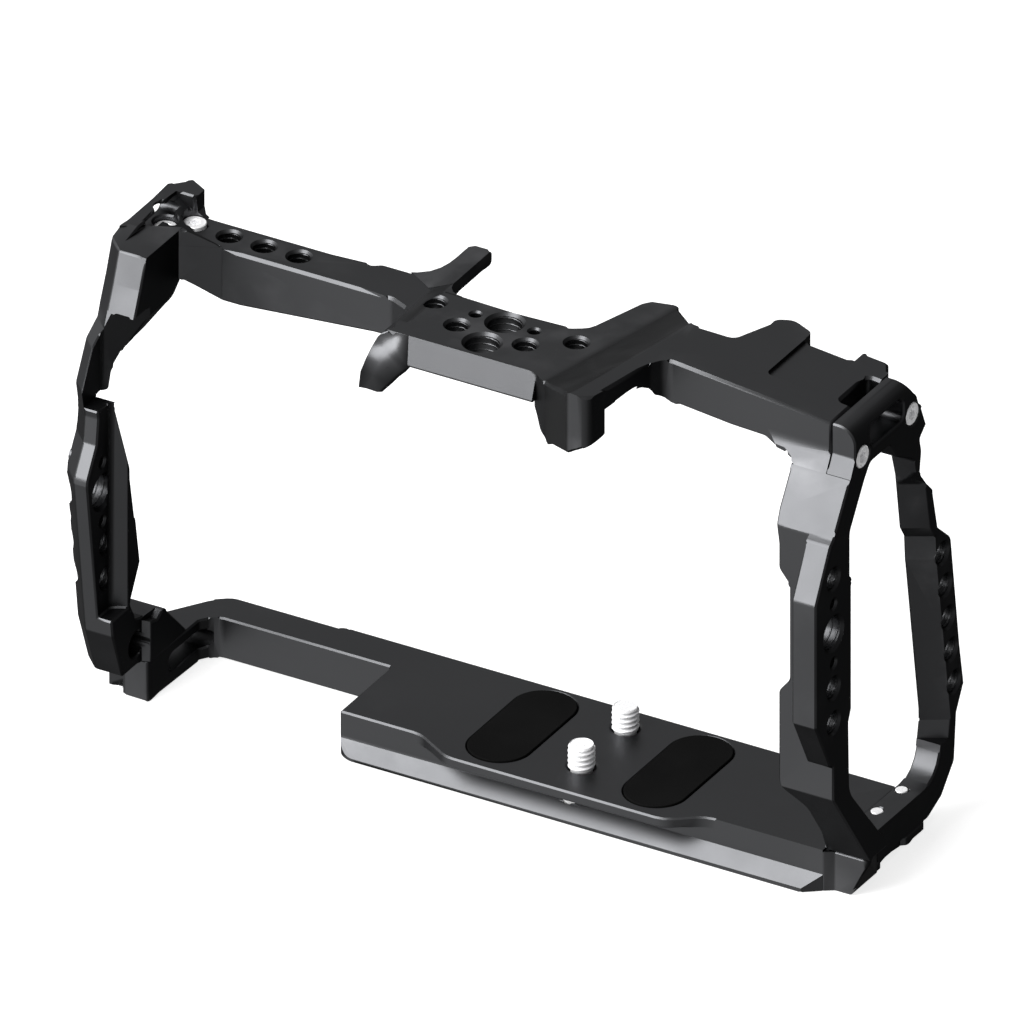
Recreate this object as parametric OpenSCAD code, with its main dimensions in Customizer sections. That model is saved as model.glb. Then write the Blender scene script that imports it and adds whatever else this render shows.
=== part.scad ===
// Camera cage: base plate, top plate, left side frame, right side ring, screws and pads.
// The lens axis is at X = 0, the front camera screw stands at the origin, +Y is towards the camera's back.

/* [Cage size] */
// Distance from the lens axis to the outer face of the left side frame
left_reach = 122; // [112:1:140]
// Distance from the lens axis to the outer face of the right side ring
right_reach = 73; // [70:1:90]
// Height of the left beam's top above the base plate
beam_z = 100; // [96:1:120]
// Thickness of the base plate
base_t = 10.6; // [10:0.2:14]

/* [Base plate] */
// Front edge of the plate, ahead of the front camera screw
base_front = 6; // [5:0.5:8]
// Rear edge of the plate, behind the front camera screw
base_back = 27.3; // [27:0.1:29]
// How far the front lip bulges past the front edge
bulge = 6; // [3:0.5:8]
// Thickness of the front lip over the dovetail
lip_t = 2.6; // [2:0.2:3.5]
// Left end of the wide part of the plate
wide_left = 60; // [50:1:70]
// Width of the dovetail across its two lower edges
dovetail_w = 38; // [36:0.5:42]
// Depth of each sloped dovetail flank
flank = 3.2; // [2:0.2:3.4]
// Height of the upright edge under each flank
dovetail_edge = 1; // [0.6:0.1:1.5]
// Depth of the left arm from front to back
arm_d = 9; // [8:0.5:12]
// Height of the left strap slot
left_slot_h = 4.6; // [3:0.2:5.5]
// Diameter of the blind tripod holes under the plate
tripod_hole_d = 6.4; // [5:0.1:8]
// Depth of the blind tripod holes
tripod_hole_depth = 7; // [4:0.5:8]
// Distance of each tripod hole from the lens axis
tripod_hole_x = 42; // [34:1:50]

/* [Camera screws] */
// Diameter of the camera thread
camera_thread_d = 6.35; // [5:0.05:7]
// Diameter of the bare neck that turns in the plate
neck_d = 5.2; // [4:0.1:6]
// Running clearance around the neck
neck_clearance = 0.05; // [0.02:0.01:0.1]
// Height of the thread above the plate
camera_screw_rise = 5.7; // [4:0.1:8]
// Distance between the two camera screws
camera_screw_pitch = 20; // [18:1:24]
// Diameter of the camera screw's head
camera_head_d = 12; // [9:0.5:14]
// Height of the camera screw's head
camera_head_h = 3.6; // [2.5:0.1:4.5]
// Gap around and above the head in its counterbore
camera_head_gap = 0.25; // [0.1:0.05:0.5]

/* [Pads] */
// Width of each rubber pad
pad_w = 15; // [12:0.5:18]
// Length of each rubber pad
pad_l = 35; // [30:0.5:36]
// Distance of each pad from the lens axis
pad_x = 20.5; // [17:0.5:26]
// Thickness of each pad
pad_t = 1.5; // [1:0.1:2]
// Height of each pad above the plate
pad_proud = 0.3; // [0.1:0.1:0.6]

/* [Frame screws] */
// Diameter of the small screws' shanks
m3_d = 3; // [2.5:0.1:4]
// Diameter of a cylindrical or flat head
m3_head_d = 5.5; // [4.5:0.1:6]
// Height of a cylindrical head
m3_head_h = 2.8; // [2:0.1:3]
// Size across the flats of the hexagon socket
m3_socket = 2.5; // [1.5:0.1:3]
// Radial clearance around a shank or a head
screw_gap = 0.1; // [0.05:0.05:0.2]

/* [Right side ring] */
// Thickness of the ring
ring_t = 6.3; // [5.5:0.1:8]
// Width of the front upright's inner flange
flange_w = 8.1; // [5:0.1:10]
// Radius of the bend at the foot of the rear upright
bend_r = 9; // [5:0.5:12]
// Turn of the rear upright's front face, seen from above
rear_face_turn = 31; // [20:1:40]
// Diameter of the small accessory holes
small_hole_d = 6.4; // [5:0.1:7]
// Diameter of the large accessory holes
large_hole_d = 9.6; // [8:0.1:10.5]
// Diameter of the locating pin holes
pin_hole_d = 3.4; // [2.5:0.1:4.5]
// Distance from a large hole to its pin holes
pin_pitch = 7.7; // [7.2:0.1:8.2]
// Height of the front upright's large hole
ring_large_z = 61.5; // [58:0.5:65]
// Distance from that large hole to the small holes above and below
ring_small_pitch = 14.3; // [13.5:0.1:15]
// Pitch of a row of small holes
row_pitch = 9.15; // [8.5:0.05:11]
// Width of the strap window in the ring's top
strap_w = 13; // [10:0.5:15.6]

/* [Top plate] */
// Step from the left beam up to the accessory area
area_step = 3; // [2:0.5:6]
// Height of the ring's top above the accessory area
ridge_h = 7; // [5:0.5:10]
// How far the nose reaches out in front of the front camera screw
nose_reach = 28; // [26:0.5:29]
// Depth of the left beam from front to back
left_beam_d = 11; // [10:0.5:14]
// Width of the crosswise rib
rib_w = 5; // [3:0.5:7]
// How far the rib's rear arm reaches back
rib_back = 38; // [30:1:42]
// How far the rib's front arm reaches forward
rib_front = 16; // [12:0.5:20]
// Depth of the recess on the right beam
recess_d = 1; // [0.5:0.1:2]
// Width of the strap slot in the top
slot_w = 3.7; // [2.5:0.1:4.2]

/* [Left side frame] */
// Thickness of the left upright
left_wall = 8; // [7:0.5:10]
// How far the rear rib stands in from the upright
left_rib = 3.7; // [2:0.1:6]
// Size of the sloped facet along the front edge
left_facet = 4.5; // [3:0.1:6]
// Thickness of the sloping corner wall
corner_wall = 3.4; // [2.5:0.1:5]
// Height of the strap lug above the left beam
lug_rise = 5.8; // [4.8:0.2:8]
// How far the strap lug's rear wall reaches in from the outer face
lug_reach = 8.6; // [7:0.2:10]
// Thickness of the top plate's tongue in the corner
tongue_t = 4; // [3:0.1:6]
// Height of the left upright's large hole
left_large_z = 49; // [46:0.5:52]

/* [Hidden] */

// A cut runs this far past the faces that it opens
past = 1;
round_fn = 48;

// Main faces
left_x = -left_reach;
right_x = right_reach;
ring_x = right_x - ring_t;
flange_x = ring_x - flange_w;
top_z = beam_z;
area_z = top_z + area_step;
bottom_z = -base_t;

// The right beam's top falls towards the ring, and meets it at end_z under its rolled top edge
end_z = area_z + ridge_h;
block_z = end_z - 12;
window_low = end_z - 8.3;
window_high = end_z - 2.7;
roll_r = 4.6;
rib_x = 47;
right_slope = 0.1007;
function crest_line(x) = end_z + 0.1 + right_slope * (ring_x - x);

// The ramp from the accessory area to the right beam, turned a little from the lens axis
ramp_turn = -11.6;
ramp_slope = 0.573;
ramp_x = -3.4;

// Left end of the right beam's recess, and the front left corner of the strap slot behind the ring
recess_x = 44.3;
slot_x = ring_x + 0.3 - slot_w;
slot_y = 7.2;

// Middle of the dovetail, from front to back
dovetail_mid = 9.8;
dovetail_front = dovetail_mid - dovetail_w / 2;
dovetail_back = dovetail_mid + dovetail_w / 2;
flank_low = bottom_z + dovetail_edge;

// Base plate's seats for the two side frames
seat_t = 2.2;
bar_bottom = bottom_z + seat_t;
foot_z = -0.5;
left_seat_z = 0;
arm_front = 26.3 - arm_d;
arm_back = 26.3;
pad_y = (dovetail_front + dovetail_back) / 2 - 1.3;

// Frame screws
right_screw_y = [1.7, 24.2];
right_screw_z = block_z + 3.2;
right_base_y = [15.8, 27];
right_base_x = right_x - 4.6;
left_base_x = [left_x + 4, left_x + 10.2];
left_base_y = -3.3;
left_top_place = [[left_x + 4.6, 14.2], [left_x + 9.4, 19.2]];
flat_head_h = (m3_head_d - m3_d) / 2;

// Holes in the top plate, from the accessory area's own centre
area_mid = -26.5;

// The slanting face of the left corner's front wall passes through this place at the outer face
corner_y = 1.2;
corner_turn = 30;

function unit(v) = v / norm(v);
function cross_z(a, b) = a[0] * b[1] - a[1] * b[0];
function turned(v, a) = [v[0] * cos(a) - v[1] * sin(a), v[0] * sin(a) + v[1] * cos(a)];

// One corner of an outline: the corner's own point, or an arc of its radius, kept within its two sides
function corner(a, p, b, r) =
    let (u = unit(a - p), w = unit(b - p), half = acos(max(-1, min(1, u * w))) / 2)
    r <= 0 || half > 87 ? [p] :
    let (reach = min(r / tan(half), 0.49 * norm(a - p), 0.49 * norm(b - p)))
    let (radius = reach * tan(half), mid = p + unit(u + w) * radius / sin(half))
    let (turn = 180 - 2 * half, start = p + u * reach - mid, steps = max(1, ceil(turn / 22)))
    let (way = cross_z(start, p + w * reach - mid) > 0 ? 1 : -1)
    [for (k = [0:steps]) mid + turned(start, way * turn * k / steps)];

// An outline whose points are [x, y, corner radius]
function rounded(points) =
    let (n = len(points), flat = [for (p = points) [p[0], p[1]]])
    [for (k = [0:n - 1]) for (q = corner(flat[(k + n - 1) % n], flat[k], flat[(k + 1) % n], points[k][2])) q];

// An outline in Y and Z, carried along X from x0 to x1
module along_x(points, x0, x1) {
    translate([x0, 0, 0]) rotate([90, 0, 90]) linear_extrude(x1 - x0) polygon(rounded(points));
}

// An outline in X and Z, carried along Y from y0 to y1
module along_y(points, y0, y1) {
    translate([0, y1, 0]) rotate([90, 0, 0]) linear_extrude(y1 - y0) polygon(rounded(points));
}

// An outline in X and Y, carried along Z from z0 to z1
module along_z(points, z0, z1) {
    translate([0, 0, z0]) linear_extrude(z1 - z0) polygon(rounded(points));
}

// A block between two opposite corners
module block(low, high) {
    translate(low) cube(high - low);
}

// A round hole or pin along X, Y or Z
module rod_x(x0, x1, y, z, d) {
    translate([x0, y, z]) rotate([0, 90, 0]) cylinder(h = x1 - x0, d = d, $fn = round_fn);
}
module rod_z(x, y, z0, z1, d) {
    translate([x, y, z0]) cylinder(h = z1 - z0, d = d, $fn = round_fn);
}

// A racetrack from its centre, width along X and length along Y
module racetrack(w, l, h) {
    translate([0, 0, h / 2]) cube([w, l - w, h], center = true);
    for (side = [-1, 1]) translate([0, side * (l - w) / 2, 0]) cylinder(h = h, d = w, $fn = round_fn);
}

// Base plate

// The plate's outline from above: bulged front lip, left arm bent forward, right end block
function plate_outline() = [
    [-wide_left + 1.4, -base_front, 1.5],
    [-38.9, -base_front, 7],
    [-28.9, -base_front - bulge, 7],
    [28.4, -base_front - bulge, 7],
    [36, -base_front, 7],
    [ring_x, -base_front, 1],
    [ring_x, base_back, 0.5],
    [-77.5, base_back, 3],
    [-79.5, arm_back, 3],
    [-wide_left - 17, arm_back - 2, 0],
    [-wide_left, arm_front, 2]];

// The wide part's cross section with its dovetail
function dovetail_section() = [
    [-base_front, 0, 0],
    [-base_front, flank_low + flank, 0],
    [dovetail_front, flank_low, 0],
    [dovetail_front, bottom_z, 0],
    [dovetail_back, bottom_z, 0],
    [dovetail_back, flank_low, 0],
    [dovetail_back - flank, flank_low + flank, 0],
    [dovetail_back - flank, 0, 0]];

// The arm and the left foot's seat, bent forward to the left side frame
function arm_outline() = [
    [-wide_left + 2, arm_front, 0],
    [left_x + 16.3, arm_front, 4],
    [left_x + 13.7, 13.6, 1.5],
    [left_x + 13.2, -8.6, 1],
    [left_x + 7.1, -8.4, 1],
    [left_x + 1.2, -5.6, 1],
    [left_x, -3, 0],
    [left_x, 6, 2],
    [left_x + 5.4, 14.2, 3],
    [left_x + 11.2, 23.1, 4],
    [left_x + 15.3, arm_back, 4],
    [-wide_left + 2, arm_back, 0]];

// The right end block, which carries the ring's flared foot
function end_block_outline() = [
    [ring_x - 2, -base_front, 0],
    [ring_x + 0.2, -base_front, 1],
    [ring_x + 2.4, -4.5, 1],
    [right_x + 5.4, -4.5, 1.5],
    [right_x + 3, 1.2, 2],
    [right_x, 8, 0],
    [ring_x - 2, 8, 0]];

module plate_body() {
    along_z(plate_outline(), -lip_t, 0);
    along_x(dovetail_section(), -wide_left, ring_x);
    along_z(arm_outline(), bottom_z, left_seat_z);
    // Right end block, tapering down from its toe
    intersection() {
        along_z(end_block_outline(), bottom_z, foot_z);
        along_y([[ring_x - 3, foot_z, 0], [right_x + 5.4, foot_z, 0], [right_x + 0.5, bottom_z, 1],
            [ring_x - 3, bottom_z, 0]], -base_front - past, 8 + past);
    }
    // Seat under the ring's bottom bar, with the rear foot
    along_z([[ring_x - 1, 7.5, 0], [right_x, 7.5, 0], [right_x, 9.6, 1], [right_x - 1.2, 10.5, 0],
        [right_x - 1.2, 20.5, 0], [right_x, 21.5, 1], [right_x, 29, 1], [right_x - 1.2, 31, 1],
        [ring_x - 1, 31, 0]], bottom_z, bar_bottom);
}

module base_plate() {
    color([0.13, 0.13, 0.14]) difference() {
        plate_body();
        // The dovetail's right end is cut off at a slant, and its front left corner is rounded
        along_z([[ring_x - 5.2, dovetail_front - past, 0], [ring_x + 0.2, -base_front, 0],
            [ring_x + 0.2, dovetail_front - past, 0]], bottom_z - past, flank_low + flank);
        corner_cut([-wide_left, dovetail_front], 5, bottom_z - past, flank_low + flank - 0.01);
        // Left strap slot
        slot_z = bottom_z + 3.1;
        along_x([[0.4, slot_z, 2.2], [16.9, slot_z, 2.2], [16.9, slot_z + left_slot_h, 2.2],
            [0.4, slot_z + left_slot_h, 2.2]], left_x - past, left_x + 16);
        // Sloped front of the left foot
        along_x([[-5.6, bottom_z - past, 0], [-5.6, bottom_z, 0], [-12.5, 0, 0], [-12.5 - past, past, 0],
            [-20, bottom_z - past, 0]], left_x - past, left_x + 6);
        for (y = [0, camera_screw_pitch]) camera_screw_seat(y);
        for (side = [-1, 1]) translate([side * pad_x, pad_y, pad_proud - pad_t])
            racetrack(pad_w + 0.2, pad_l + 0.2, pad_t);
        for (side = [-1, 1]) translate([side * tripod_hole_x, dovetail_mid, bottom_z])
            rod_z(0, 0, -past, tripod_hole_depth, tripod_hole_d);
        for (y = right_base_y) screw_hole_up(right_base_x, y, 0);
        for (x = left_base_x) screw_hole_up(x, left_base_y, left_seat_z);
    }
}

// What rounding takes off an upright corner at the low X, low Y side
module corner_cut(p, r, z0, z1) {
    difference() {
        block([p[0] - past, p[1] - past, z0], [p[0] + r, p[1] + r, z1]);
        rod_z(p[0] + r, p[1] + r, z0 - past, z1 + past, 2 * r);
    }
}

// Hole for a flat-headed screw that comes up from below
module screw_hole_up(x, y, z1) {
    rod_z(x, y, bottom_z - past, z1 + past, m3_d + 2 * screw_gap);
    translate([x, y, bottom_z]) cylinder(h = flat_head_h + screw_gap, d1 = m3_head_d + 2 * screw_gap,
        d2 = m3_d + 2 * screw_gap, $fn = round_fn);
    rod_z(x, y, bottom_z - past, bottom_z, m3_head_d + 2 * screw_gap);
}

// Neck bore, countersink above and counterbore below for a camera screw
module camera_screw_seat(y) {
    rod_z(0, y, bottom_z - past, past, neck_d + 2 * neck_clearance);
    translate([0, y, -2]) cylinder(h = 2.05, d1 = neck_d + 2 * neck_clearance, d2 = camera_thread_d + 0.85,
        $fn = round_fn);
    rod_z(0, y, bottom_z - past, bottom_z + camera_head_h + 0.8, camera_head_d + 2 * camera_head_gap);
}

// Top plate

// Front view of the left beam, its tongue left out
function left_beam_front() = [
    [left_x + 20.5, top_z, 0],
    [-rib_x, top_z, 0],
    [-rib_x, top_z - 10.2, 0],
    [-62, top_z - 10.6, 6],
    [left_x + 25, top_z - 13.8, 6],
    [left_x + 20.5, top_z - 13.8, 0]];

function left_beam_plan() = [
    [left_x + 20.5, 12.4, 0],
    [-57, 12.4, 4],
    [-50.5, 9.5, 3],
    [-rib_x, 3, 0],
    [-rib_x, 24.9, 0],
    [-66.5, 24.9, 2],
    [-68.5, 12.4 + left_beam_d, 2],
    [left_x + 20.5, 12.4 + left_beam_d, 0]];

// What lies under the tops of the accessory area and the right beam, seen from the front
function middle_front() = [
    [-50, top_z - 30, 0],
    [-50, top_z, 0],
    [-45.5, area_z, 1],
    [-44, area_z, 0],
    [-40, crest_line(-40), 0],
    [ring_x, end_z + 0.1, 0],
    [ring_x, top_z - 30, 0]];

// The accessory area's level top and the ramp that rises from it, in the ramp's own direction
function ramp_front() = [
    [-70, top_z - 30, 0],
    [-70, area_z, 0],
    [ramp_x, area_z, 7],
    [ramp_x + 60, area_z + 60 * ramp_slope, 0],
    [90, area_z + 60 * ramp_slope, 0],
    [90, top_z - 30, 0]];

// The underside: level under the area, a sheet of even thickness under the ramp, thicker at the beam
function middle_under() = [
    [-60, top_z - 40, 0],
    [-60, area_z - 7, 0],
    [-5, area_z - 7, 5],
    [13, area_z + 3.6, 4],
    [20.6, area_z + 7.8, 1],
    [22, block_z + 8, 1],
    [24.6, block_z + 5.4, 2],
    [40, block_z + 3.8, 4],
    [49, block_z + 3.4, 2],
    [51.5, block_z + 1.8, 1],
    [54.6, block_z + 1.1, 1],
    [flange_x - 2.6, block_z, 1],
    [ring_x + past, block_z, 0],
    [ring_x + past, top_z - 40, 0]];

// The same stretch from above, with the nose that reaches out over the lens mount
function middle_plan() = [
    [-50, -5, 0],
    [-45.5, -5, 0],
    [-9.5, -5, 4],
    [-4.6, -8.6, 3],
    [12.2, -nose_reach, 2.5],
    [17.6, -nose_reach, 3.5],
    [18.8, -22, 3],
    [21.4, -6, 3],
    [23.5, -2, 3],
    [ring_x, -2, 0],
    [ring_x, 24, 0],
    [64.4, 28, 1],
    [58, 28, 1],
    [57.4, 25.1, 0.5],
    [recess_x, 25.1, 0],
    [recess_x, 28, 1.5],
    [38.5, 30, 3],
    [35.4, 28, 2],
    [31, 15.4, 2],
    [20.6, 14.1, 2],
    [3.6, rib_back - 0.6, 2.5],
    [-4, rib_back - 2.4, 3],
    [-9, 19, 4],
    [-13, 16.5, 3],
    [-50, 16.5, 0]];

// Side view of the rib: rear arm, seat on the plate and the front arm that curves down
function rib_side() = [
    [rib_back, area_z, 1],
    [0.7, area_z, 8],
    [-8, area_z - 2.1, 8],
    [-12.5, area_z - 6, 3],
    [-rib_front, area_z - 7, 2],
    [-rib_front - 0.2, area_z - 10.5, 1],
    [-12.5, area_z - 11.3, 2],
    [-9.5, area_z - 9.6, 3],
    [-5, area_z - 7, 3],
    [16, area_z - 7, 3],
    [22, area_z - 4, 6],
    [rib_back, area_z - 3.4, 1]];

// The skirt that hangs from the nose's edge, from the front and from above
function skirt_front() = [
    [-9.3, area_z + 20, 0],
    [-9.3, area_z - 8.7, 1],
    [-6.8, area_z - 13.5, 2],
    [-3.2, area_z - 14.4, 2],
    [13.8, area_z - 2.8, 3],
    [18.4, area_z - 0.3, 2],
    [19.6, area_z + 2.4, 1],
    [19.6, area_z + 20, 0]];

function skirt_plan() = [
    [-12, -12, 0],
    [9, -nose_reach - past, 0],
    [24, -nose_reach - past, 0],
    [24, -nose_reach + 6, 0],
    [13.6, -nose_reach + 6, 3],
    [-1.5, -6.2, 3],
    [-9.5, -1.6, 2],
    [-12, -1.6, 0]];

module top_plate_body() {
    intersection() {
        along_y(left_beam_front(), 0, 30);
        along_z(left_beam_plan(), top_z - 20, top_z + past);
    }
    left_tongue(0);
    difference() {
        intersection() {
            along_y(middle_front(), -nose_reach - past, 40);
            rotate([0, 0, ramp_turn]) along_y(ramp_front(), -60, 70);
            along_z(middle_plan(), top_z - 25, crest_line(-40));
        }
        // Room under the plate, apart from the skirt
        difference() {
            along_y(middle_under(), -nose_reach - 2 * past, 45);
            intersection() {
                along_y(skirt_front(), -nose_reach - 3 * past, 0);
                along_z(skirt_plan(), top_z - 45, top_z + 30);
            }
        }
        // Sloped front of the accessory area
        along_x([[-5, area_z, 0], [-7.3 - past, area_z, 0], [-7.3 - past, area_z - 8, 0],
            [-7.3, area_z - 8, 0]], -60, -12);
    }
    // Accessory area's front leans out a little towards its lower edge
    along_x([[-5, area_z, 0], [-7.3, area_z - 7, 0.5], [0, area_z - 7, 0], [0, area_z, 0]], -48, -9);
    intersection() {
        along_x(rib_side(), -rib_x - 3.5, -rib_x - 3.5 + rib_w);
        along_y([[-51, top_z - 12, 0], [-51, top_z + 0.4, 1.5], [-45.6, area_z, 1], [-rib_x + 6, area_z, 0],
            [-rib_x + 6, top_z - 12, 0]], -20, 42);
    }
    // Lower front of the right end, sloping forward on to the ring's flange
    intersection() {
        along_x([[-2, block_z + 7.5, 0], [-2, block_z + 4.5, 9], [-4.5, block_z, 0], [0, block_z, 0],
            [0, block_z + 7.5, 0]], 48, ring_x);
        along_y([[48.4, block_z + 7.5, 0], [52.4, block_z + 3, 0], [55, block_z + 2.8, 1],
            [57.2, block_z + 1.4, 0.5], [57.6, block_z, 0], [ring_x, block_z, 0],
            [ring_x, block_z + 7.5, 0]], -6, 1);
    }
}

// The beam's left end, which lies in the corner of the left side frame
module left_tongue(gap) {
    along_z([[left_x + 20.6, 12.4 + 1.2 - gap, 0], [left_x + 3.2 - gap, 6.9 - 1.2 - gap, 0],
        [left_x + 3.2 - gap, 12.4 + left_beam_d + gap, 0], [left_x + 20.6, 12.4 + left_beam_d + gap, 0]],
        top_z - tongue_t, top_z + gap * 2);
}

module top_plate() {
    color([0.13, 0.13, 0.14]) difference() {
        top_plate_body();
        // Three small holes in the left beam
        for (k = [0:2]) beam_hole(k);
        // Accessory area: two large holes, their pins and four small holes
        area_hole(area_mid, 11.1, large_hole_d);
        area_hole(area_mid, 0.75, large_hole_d);
        for (side = [-1, 1]) area_hole(area_mid + side * pin_pitch, 11.1, pin_hole_d);
        for (side = [-1, 1]) area_hole(area_mid + side * 9, 4.8, small_hole_d);
        for (side = [-1, 1]) area_hole(area_mid + side * 18.6, 11.4, small_hole_d);
        // Recess on the right beam, open at the back
        recess();
        // Strap slot, open into the ring's window
        along_z([[slot_x, slot_y, 1.5], [ring_x + past, slot_y, 0], [ring_x + past, slot_y + strap_w, 0],
            [slot_x, slot_y + strap_w, 1.5]], window_low, end_z + 10);
        for (p = left_top_place) screw_hole_down(p);
        for (y = right_screw_y) rod_x(ring_x - 9, ring_x + past, y, right_screw_z, m3_d + 2 * screw_gap);
    }
}

module beam_hole(k) {
    rod_z(left_x + 19 + k * row_pitch, 18.3, top_z - 20, top_z + past, small_hole_d);
}

module area_hole(x, y, d) {
    rod_z(x, y, area_z - 20, area_z + past, d);
}

module recess() {
    translate([ring_x, 0, end_z + 0.1]) rotate([0, atan(right_slope), 0]) translate([-ring_x, 0, 0])
        along_z([[recess_x, 6.8, 1.5], [57.9, 6.8, 1.5], [57.9, 40, 0], [recess_x, 40, 0]], -recess_d, 2);
}

// Hole for a cap screw that goes down through the tongue
module screw_hole_down(p) {
    rod_z(p[0], p[1], top_z - tongue_t - past, top_z + past, m3_d + 2 * screw_gap);
    rod_z(p[0], p[1], top_z - m3_head_h + 0.6, top_z + 5, m3_head_d + 2 * screw_gap);
}

// Left side frame

// Front edge of the upright at its outer face, from the top down
function left_front_edge() = [
    [-2.4, top_z + 4.6, 0], [-5, top_z - 2.7, 3], [-7.9, top_z - 9.5, 2], [-9.1, top_z - 12.6, 2],
    [-14, top_z - 15.6, 2], [-18.8, 75.1, 2], [-17.6, 68.9, 2], [-18.4, 62.3, 2], [-22.6, 55.1, 3],
    [-22.8, 53.6, 1], [-18.9, 22.9, 2], [-17.6, 12.8, 3], [-13, left_seat_z, 0]];

// Rear edge of the upright and its rib, from the foot up
function left_rear_edge() = [
    [6, left_seat_z, 0], [-2.3, 11, 1], [-8, 11.4, 0.5], [-11.5, 12.2, 2], [-14.5, 17.7, 2],
    [-9.8, 26.6, 1], [-11.7, 38.2, 3], [-14.9, 56.2, 3], [-16.2, 68.1, 1], [-16.6, 71, 0.5],
    [-12.7, 71.4, 0.5], [-12.2, 76, 2], [-9.4, 82.4, 2], [-3, top_z - 16.2, 3],
    [4.7, top_z - 11.7, 2], [8.4, top_z - 8.6, 1],
    [10, top_z - 5, 0], [10, top_z + 4.6, 0]];

// The strap lug's outer wall, seen from the side
function lug_side() = [
    [-2.4, top_z + 4.6, 0], [3, top_z + lug_rise, 2], [23.3, top_z + lug_rise, 0],
    [23.3, top_z - 8, 0], [0, top_z - 8, 0], [-5, top_z - 2.7, 0]];

module left_upright() {
    difference() {
        along_x(concat([for (p = left_front_edge()) [p[0] - left_facet, p[1], p[2]]], left_rear_edge()),
            left_x, left_x + left_wall + left_rib);
        // Sloped facet along the front outer edge
        facet_cut([for (p = left_front_edge()) p], left_x, -45);
        // The upright steps back from the rib, with a face turned to the front
        left_step_cut();
    }
}

// Takes off what lies in front of a face that passes through an edge at x and is turned about Z
module facet_cut(edge, x, turn) {
    front = [for (p = edge) [-x * sin(turn) + p[0] * cos(turn), p[1], 0]];
    low = min([for (p = front) p[0]]) - 30;
    last = len(front) - 1;
    above = edge[0][1] + 5;
    below = edge[last][1] - 5;
    rotate([0, 0, turn]) along_x(concat([[low, above, 0], [front[0][0], above, 0]], front,
        [[front[last][0], below, 0], [low, below, 0]]), -250, 250);
}

module left_step_cut() {
    step_x = left_x + left_wall;
    rib_face = step_x + left_rib + past;
    along_z([[step_x, -40, 0], [step_x, -17, 2], [step_x + left_rib, -14.9, 0], [rib_face, -14.9, 0],
        [rib_face, -40, 0]], 17, 71);
    // Above the rib the upright is thinner, with a narrow strip behind that widens to the corner
    along_z([[step_x - 4, -40, 0], [step_x - 4, -14, 2], [step_x + left_rib, -5.1, 0], [rib_face, -5.1, 0],
        [rib_face, -40, 0]], 70.9, top_z - 9);
    along_y([[step_x - 2.2, 70.9, 0], [step_x - 2.2, 71.7, 0], [step_x, 82, 3],
        [step_x + left_rib, top_z - 11.2, 0], [rib_face, top_z - 11.2, 0], [rib_face, 70.9, 0]], -40, 40);
}

module left_corner() {
    intersection() {
        // Corner seen from above: the sloping front wall, the outer wall and the seat of the tongue
        along_z([[left_x, corner_y, 0], [left_x + 20.5, 13, 0], [left_x + 20.5, 12.4 + left_beam_d, 0],
            [left_x + lug_reach + 1.4, 12.4 + left_beam_d, 0], [left_x + lug_reach, 25.1, 0.5],
            [left_x + 4, 27.7, 0.5], [left_x, 23.3, 0.5]],
            top_z - 20, top_z + 8);
        union() {
            // Front view: arched underside, inclined inner face rising to the lug
            along_y([[left_x, top_z - 16, 0], [left_x + 4, top_z - 14, 0], [left_x + 5.6, top_z - 8.5, 2],
                [left_x + 8.5, top_z - 6.8, 3], [left_x + 11, top_z - 7.6, 3],
                [left_x + 20.5, top_z - 13.8, 0], [left_x + 20.5, top_z, 0], [left_x + 10.5, top_z + 0.6, 1],
                [left_x + 1.2, top_z + lug_rise, 0.8], [left_x, top_z + lug_rise, 0]], 0, 30);
            // The front wall and the lug's rear wall stand above the beam's top
            front_wall();
            block([left_x, 21.4, top_z - 8], [left_x + lug_reach, 30, top_z + lug_rise]);
        }
    }
}

module front_wall() {
    translate([left_x, corner_y, 0]) rotate([0, 0, corner_turn])
        along_y([[0, top_z - 8, 0], [0, top_z + 4.5, 2], [15, top_z + 4.5, 3], [23.5, top_z, 3],
            [23.5, top_z - 8, 0]], 0, corner_wall);
}

module left_side_frame() {
    color([0.12, 0.12, 0.13]) difference() {
        union() {
            left_upright();
            left_corner();
            along_x(lug_side(), left_x, left_x + 4);
            left_hump();
        }
        left_tongue(0.02);
        tongue_room();
        // Strap slot through the lug
        along_x([[6, top_z + 1.8, 1.4], [19.5, top_z + 1.8, 1.4], [19.5, top_z + 4.8, 1.4],
            [6, top_z + 4.8, 1.4]], left_x - past, left_x + 5.5);
        // Large hole with its pins, and small holes below
        left_hole(-20.3, left_large_z, large_hole_d);
        for (side = [-1, 1]) left_hole(-20.3, left_large_z + side * pin_pitch, pin_hole_d);
        for (k = [0:1]) left_hole(-18.6, left_large_z - ring_small_pitch - k * row_pitch, small_hole_d);
        rod_x(left_x + 5, left_x + 20, -11.4, 5.6, small_hole_d);
        for (p = left_top_place) {
            rod_z(p[0], p[1], top_z - tongue_t - 5, top_z - 1, m3_d + 2 * screw_gap);
            rod_z(p[0], p[1], top_z - m3_head_h + 0.6, top_z + 9, m3_head_d + 2 * screw_gap);
        }
        for (x = left_base_x) rod_z(x, left_base_y, -past, 7, m3_d + 2 * screw_gap);
        // The beam's first hole goes on down through the corner
        beam_hole(0);
    }
}

// Bore through the upright's wall, up to the rib
module left_hole(y, z, d) {
    rod_x(left_x - past, left_x + left_wall, y, z, d);
}

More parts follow.
